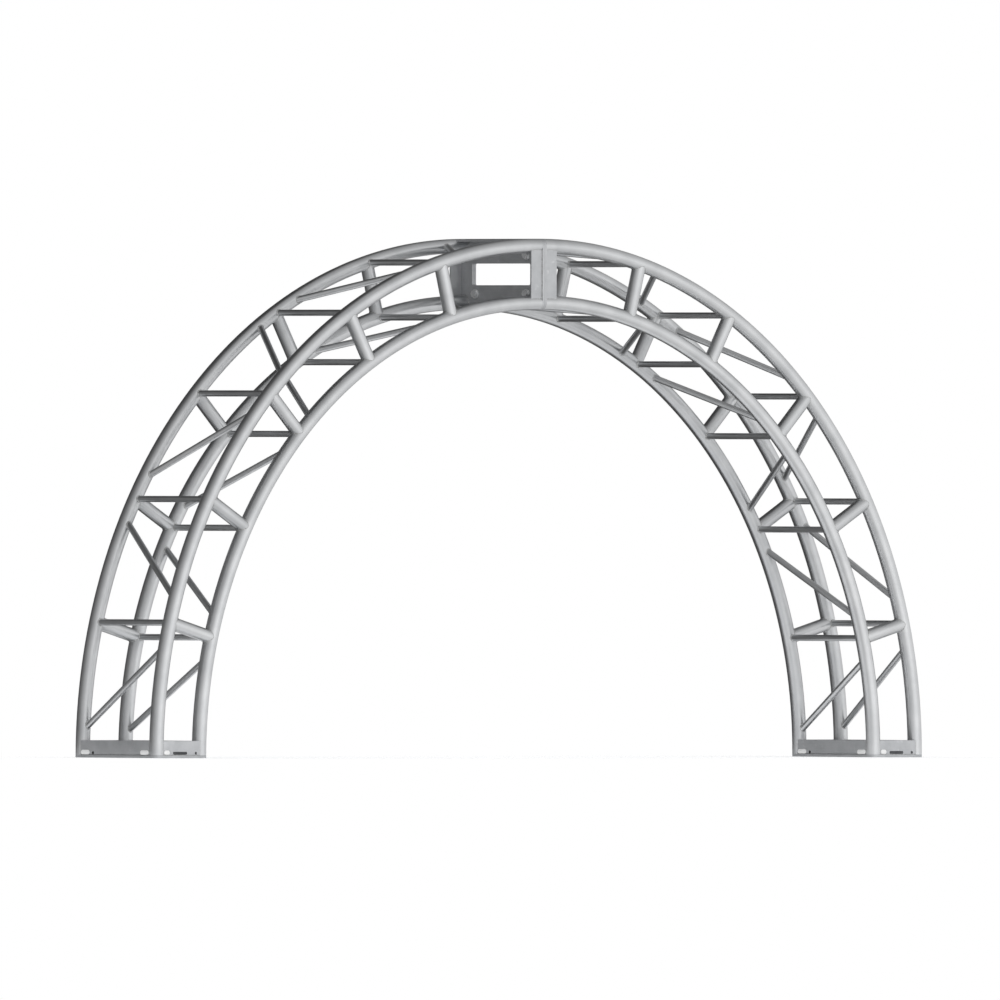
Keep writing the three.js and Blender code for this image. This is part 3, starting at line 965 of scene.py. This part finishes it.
def leg_piece(quarter, end, kind, sign):
    """A face leg runs through the depth and a side leg between an inner and an outer chord."""
    seat = Seat(quarter, end)
    shape = new_shape()
    radius = seat.outer["radius"]
    is_face = kind == "face"
    half, face_place = leg_reach(seat, is_face)

    def lean(height):
        """How far the chords have bent inwards at a height above the end plate."""
        return height * height / (seat.outer["arc"] + seat.inner["arc"])

    def place(along, height, inwards):
        """Inwards is the distance behind the leg's outer face."""
        out = sign * (face_place - inwards)
        if is_face:
            return seat.place(out, along, height)
        return seat.place(along - lean(height), out, height)

    def reach(inwards, height, sink):
        side = radius - leg_inset - inwards + (sign * lean(height) if is_face else 0.0)
        return half + sink - math.sqrt(radius * radius - side * side)

    def holes(grow):
        if end != "foot":
            return []
        height = leg_feature_height - plate_gap
        if is_face:
            return [round_hole(leg_hole_radius + grow, (half - face_hole_setback, height))]
        return [
            round_hole(leg_hole_radius + grow, (seat.hand * (half - side_hole_setback), height)),
            rounded_loop(side_slot_length + 2 * grow, side_slot_height + 2 * grow,
                         side_slot_height / 2 + grow,
                         (seat.hand * (half - side_slot_setback), height)),
        ]

    def loops(inwards, inset):
        low, high = inset - plate_gap, leg_height - plate_gap - inset
        heights = [low + (high - low) * i / leg_steps for i in range(leg_steps + 1)]
        outline = [(reach(inwards, height, leg_sink), height) for height in heights]
        return [outline + [(-x, height) for x, height in outline[::-1]], *holes(inset)]

    levels = [
        (inwards, loops(inwards, inset))
        for inwards, inset in ((0.0, leg_edge), (leg_edge, 0.0), (leg_thickness / 2, 0.0),
                               (leg_thickness - leg_edge, 0.0), (leg_thickness, leg_edge))
    ]
    offset = choices.uniform(0, grain_spread)
    metals = [plate_aluminium, bead_aluminium]
    hole_finish = 0
    # The black rubber grommet in the hole of a foot face leg is painted shade for the inside of
    # the hole.
    if is_face and end == "foot":
        metals.append(painted_shade_rubber)
        hole_finish = rubber_finish
        middle = (half - face_hole_setback, leg_feature_height - plate_gap)
        disc = round_hole(leg_hole_radius + grommet_sink, middle)
        add_sheet(shape, [(grommet_depth, [disc]), (grommet_depth + grommet_thickness, [disc])],
                  place, lambda a, b, h: (b, h, a), hole_finish)
    add_sheet(shape, levels, place, lambda a, b, h: (b, h, a + offset), 0, hole_finish)
    out = (place(0.0, 0.0, 0.0) - place(0.0, 0.0, leg_thickness)).normalized()
    count = round(leg_height / bead_pitch) * bead_steps
    for tip in (-1, 1):
        seam = []
        for j in range(count + 1):
            height = leg_height * j / count
            seam.append(corner(place(tip * reach(0.0, height, 0.0), height, 0.0), out, out))
        add_bead(shape, seam, leg_bead_radius, False)
    count = round(2 * half / bead_pitch) * bead_steps
    contact = reach(0.0, 0.0, 0.0)
    seam = [corner(place(contact * (2 * j / count - 1), 0.0, 0.0), out, seat.up)
            for j in range(count + 1)]
    add_bead(shape, seam, leg_root_bead_radius, False)
    side = {("face", 1): "outer", ("face", -1): "inner",
            ("side", 1): "back", ("side", -1): "front"}[kind, sign]
    make_piece(f"{quarter}_{end}_{side}_leg", shape, metals,
               [f"{quarter}_{end}_frame"])


for quarter in hands:
    for end in ("foot", "crown"):
        for kind in ("face", "side"):
            for sign in (-1, 1):
                leg_piece(quarter, end, kind, sign)


# Bright zinc plated steel of the crown bolts, nuts and washers, with the faint cloudy bloom
# and the specks that plating has.
zinc_grey = "#E0E2E5"
zinc_pale = "#F4F4F2"
bloom_size = 7 * mm
speck_size = 1.1 * mm
zinc_roughness = 0.34
speck_roughness = 0.16
zinc_bump = 0.1 * mm


def zinc_metal():
    metal = bpy.data.materials.new("bright_zinc_plated_steel")
    tree = empty_tree(metal)
    grain = add_node(tree, "ShaderNodeAttribute", attribute_name="grain").outputs["Vector"]
    bloom = add_node(tree, "ShaderNodeTexNoise", {
        "Vector": grain, "Scale": 1 / bloom_size, "Detail": 4.0, "Roughness": 0.6})
    specks = add_node(tree, "ShaderNodeTexNoise", {
        "Vector": grain, "Scale": 1 / speck_size, "Detail": 2.0, "Roughness": 0.5})
    shade = add_node(tree, "ShaderNodeMapRange", {
        "Value": bloom.outputs[0], "From Min": 0.35, "From Max": 0.65})
    colour = add_node(tree, "ShaderNodeMix", {
        mix_share: shade.outputs[0], mix_from: srgb(zinc_grey), mix_to: srgb(zinc_pale)},
        data_type="RGBA")
    gloss = add_node(tree, "ShaderNodeMath", {
        0: specks.outputs[0], 1: speck_roughness, 2: zinc_roughness},
        operation="MULTIPLY_ADD")
    end_metal(tree, colour.outputs[mix_colour], gloss.outputs[0], specks.outputs[0],
              zinc_bump, strength=0.15)
    return metal


zinc_steel = zinc_metal()


# Domed buttons low on the outside of the foot legs, pressed from steel and snapped into
# slots. A face leg has one at each end and a side leg has one. Their milky white coat is
# painted highlight, which shines only softly and keeps them bright from every side.
coat_highlight_dull = "#F4F4F2"
coat_highlight_white = "#FDFDFC"
flake_size = 1.5 * mm
flake_metallic = 0.2
flake_roughness = 0.4
flake_bump = 0.1 * mm
button_height = 9.0 * mm
button_width = 17.0 * mm
face_button_length = 44.0 * mm
side_button_length = 27.0 * mm
face_button_setback = 38.0 * mm
side_button_setback = 170.0 * mm
button_sink = 0.3 * mm
button_dome = tuple((out * mm, inset * mm) for out, inset in (
    (0.0, 0.0), (1.1, 0.15), (1.9, 0.8), (2.5, 1.9), (2.9, 3.4), (3.1, 5.2)))
button_smooth_angle = 50


def painted_highlight_coat_material():
    metal = bpy.data.materials.new("white_coated_steel_painted_highlight")
    tree = empty_tree(metal)
    grain = add_node(tree, "ShaderNodeAttribute", attribute_name="grain").outputs["Vector"]
    flakes = add_node(tree, "ShaderNodeTexNoise", {
        "Vector": grain, "Scale": 1 / flake_size, "Detail": 3.0, "Roughness": 0.6})
    # The milky white of the coat is painted highlight.
    colour = add_node(tree, "ShaderNodeMix", {
        mix_share: flakes.outputs[0], mix_from: srgb(coat_highlight_dull), mix_to: srgb(coat_highlight_white)},
        data_type="RGBA")
    end_metal(tree, colour.outputs[mix_colour], flake_roughness, flakes.outputs[0],
              flake_bump, strength=0.15, metallic=flake_metallic)
    return metal


painted_highlight_coat = painted_highlight_coat_material()


def button_piece(quarter, kind, sign, setback, length, name):
    seat = Seat(quarter, "foot")
    shape = new_shape()
    is_face = kind == "face"
    half, face_place = leg_reach(seat, is_face)
    spots = (half - setback, setback - half) if is_face else (seat.hand * (half - setback),)

    def place(along, height, out):
        if is_face:
            return seat.place(sign * (face_place + out), along, height)
        return seat.place(along, sign * (face_place + out), height)

    for spot in spots:
        levels = [
            (out, [rounded_loop(length - 2 * inset, button_width - 2 * inset,
                                button_width / 2 - inset, (spot, button_height))])
            for out, inset in ((-button_sink, 0.0), *button_dome)
        ]
        add_sheet(shape, levels, place, lambda a, b, h: (a, b, h))
    make_piece(f"{quarter}_foot_{name}_leg_buttons", shape, [painted_highlight_coat],
               [f"{quarter}_foot_frame"], button_smooth_angle)


for quarter in hands:
    for sign, name in ((1, "outer"), (-1, "inner")):
        button_piece(quarter, "face", sign, face_button_setback, face_button_length, name)
    for sign, name in ((1, "back"), (-1, "front")):
        button_piece(quarter, "side", sign, side_button_setback, side_button_length, name)


# Crown bolts, four 5/8 in hexagon bolts of zinc plated steel through both crown plates. The
# heads and nuts are chamfered, with a washer under each, and the thread shows past the nut.
washer_radius = 17.0 * mm
washer_thickness = 3.0 * mm
washer_edge = 0.3 * mm
hex_across = 23.73 * mm
head_height = 10.0 * mm
nut_height = 14.0 * mm
shank_radius = 7.94 * mm
thread_pitch = 2.309 * mm
thread_depth = 1.1 * mm
thread_steps = 6
thread_tip_radius = shank_radius - 1.5 * thread_depth
chamfer_depths = (0.0, 0.45 * mm, 0.9 * mm, 1.35 * mm)
chamfer_slope = math.tan(math.radians(60))
chamfer_start_share = 0.97
bolt_sides = 48
bolt_seat_gap = 0.3 * mm
bolt_smooth_angle = 25


def hexagon(turn, across):
    """The distance from the middle of a hexagon to its edge."""
    sixth = full_turn / 6
    return across / 2 / math.cos((turn + sixth / 2) % sixth - sixth / 2)


def add_turned(shape, rings, axis, origin, up, sides):
    """A turned part from rings of (radius as a number or a function of the turn, height)."""
    across = axis.cross(up).normalized()
    points = []
    for radius, height in rings:
        ring = []
        for j in range(sides):
            turn = full_turn * j / sides
            size = radius(turn) if callable(radius) else radius
            spoke = up * math.cos(turn) + across * math.sin(turn)
            ring.append(origin + axis * height + spoke * size)
        points.append(ring)
    start = len(shape["points"])
    add_rings(shape, points, 0, False, lambda i, j: tuple(points[i][j] - origin),
              lambda i, j: 0.0)
    last = len(shape["points"]) - sides
    shape["faces"].append(tuple(range(start, start + sides)))
    shape["faces"].append(tuple(range(last, last + sides)))
    shape["finish"] += [0, 0]


def hex_rings(seat, end, chamfers_seat):
    """Rings of a hexagon prism from its seat to its end, where a cone cuts its corners off."""
    way = 1 if end > seat else -1

    def cut(depth):
        start = hex_across / 2 * chamfer_start_share
        return lambda turn: min(hexagon(turn, hex_across), start + depth * chamfer_slope)

    first = [(cut(depth), seat + way * depth) for depth in chamfer_depths]
    last = [(cut(depth), end - way * depth) for depth in reversed(chamfer_depths)]
    return (first if chamfers_seat else [(cut(chamfer_depths[-1]), seat)]) + last


def thread_rings(start, end):
    """Rings of a screw thread, whose radius follows the helix round each ring."""
    count = round((end - start) / thread_pitch * thread_steps)

    def radius_at(height):
        def radius(turn):
            share = (height / thread_pitch - turn / full_turn) % 1
            return shank_radius - thread_depth * abs(2 * share - 1)
        return radius

    heights = [start + (end - start) * i / count for i in range(count + 1)]
    return [(radius_at(height), height) for height in heights]


def bolt_piece(node):
    low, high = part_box(node)
    origin = Vector((0.0, (low.y + high.y) / 2, (low.z + high.z) / 2))
    along = Vector((1.0, 0.0, 0.0))
    up = Vector((0.0, 0.0, 1.0))
    seat = plate_gap / 2 + plate_thickness
    washer_end = seat + bolt_seat_gap + washer_thickness
    nut_end = washer_end + nut_height
    tip = high.x
    parts = [
        [(washer_radius - washer_edge, way * seat), (washer_radius, way * (seat + washer_edge)),
         (washer_radius, way * (washer_end - washer_edge)),
         (washer_radius - washer_edge, way * washer_end)]
        for way in (-1, 1)
    ]
    parts.append([(shank_radius, -seat), (shank_radius, seat)])
    parts.append(hex_rings(-washer_end, -washer_end - head_height, False))
    parts.append(hex_rings(washer_end, nut_end, True))
    parts.append(thread_rings(nut_end - thread_pitch, tip - thread_depth)
                 + [(thread_tip_radius, tip)])
    shape = new_shape()
    for rings in parts:
        add_turned(shape, rings, along, origin, up, bolt_sides)
    make_piece(f"{node}_set", shape, [zinc_steel], [node],
               bolt_smooth_angle)


for face in ("outer", "inner"):
    for side in ("front", "back"):
        bolt_piece(f"crown_bolt_{face}_{side}")


# The box of what is shown, now that everything is built.
low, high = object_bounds()
